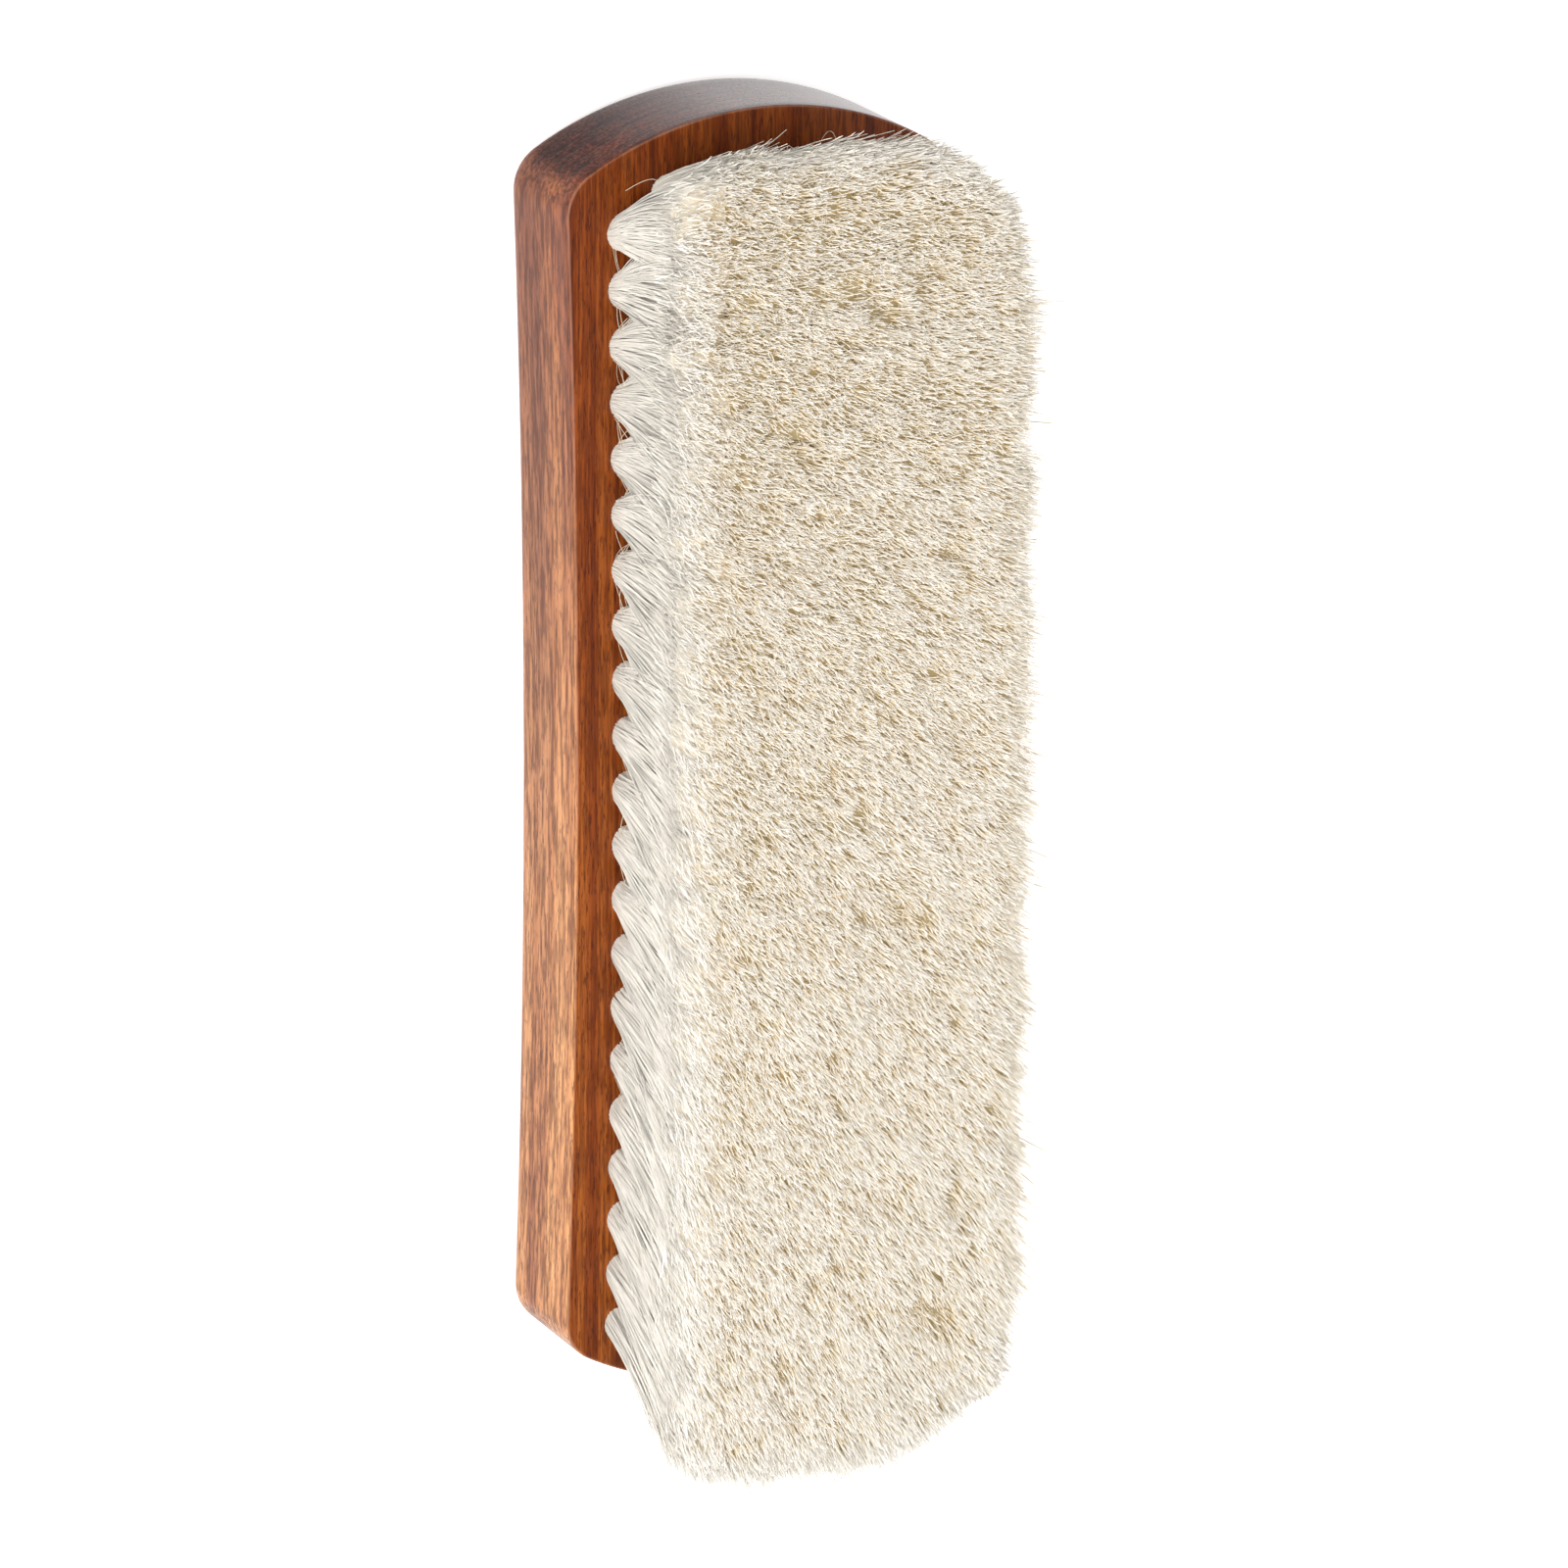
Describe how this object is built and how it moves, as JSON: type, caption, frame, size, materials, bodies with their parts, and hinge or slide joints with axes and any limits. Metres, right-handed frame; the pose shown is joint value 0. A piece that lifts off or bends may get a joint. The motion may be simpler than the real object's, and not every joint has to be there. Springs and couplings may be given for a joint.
{
  "type": "shoe shine brush",
  "caption": "Hand brush for polishing shoes: a waisted wooden block with bowed ends, and dense cream hair tufts that fan out of its flat face.",
  "frame": {"origin": "centre of the flat wooden back, on which the brush lies with its bristles up", "axes": "+X along the block, +Y across it, +Z from the back to the bristle tips"},
  "size_m": [0.177, 0.0528, 0.046],
  "materials": {
    "wood": "satin lacquer",
    "hair": "soft natural hair",
    "anchor_wire": "flat wire"
  },
  "bodies": {
    "root": {"block": "wood", "tufts_01": "hair", "tufts_02": "hair", "tufts_03": "hair", "tufts_04": "hair", "tufts_05": "hair", "tufts_06": "hair", "tufts_07": "hair", "tufts_08": "hair", "tufts_09": "hair", "tufts_10": "hair", "tufts_11": "hair", "tufts_12": "hair", "tufts_13": "hair", "tufts_14": "hair", "tufts_15": "hair", "tufts_16": "hair", "tufts_17": "hair", "tufts_18": "hair", "tufts_19": "hair", "tufts_20": "hair", "tufts_21": "hair", "anchors_01": "anchor_wire", "anchors_02": "anchor_wire", "anchors_03": "anchor_wire", "anchors_04": "anchor_wire", "anchors_05": "anchor_wire", "anchors_06": "anchor_wire", "anchors_07": "anchor_wire", "anchors_08": "anchor_wire", "anchors_09": "anchor_wire", "anchors_10": "anchor_wire", "anchors_11": "anchor_wire", "anchors_12": "anchor_wire", "anchors_13": "anchor_wire", "anchors_14": "anchor_wire", "anchors_15": "anchor_wire", "anchors_16": "anchor_wire", "anchors_17": "anchor_wire", "anchors_18": "anchor_wire", "anchors_19": "anchor_wire", "anchors_20": "anchor_wire", "anchors_21": "anchor_wire"}
  },
  "joints": []
}
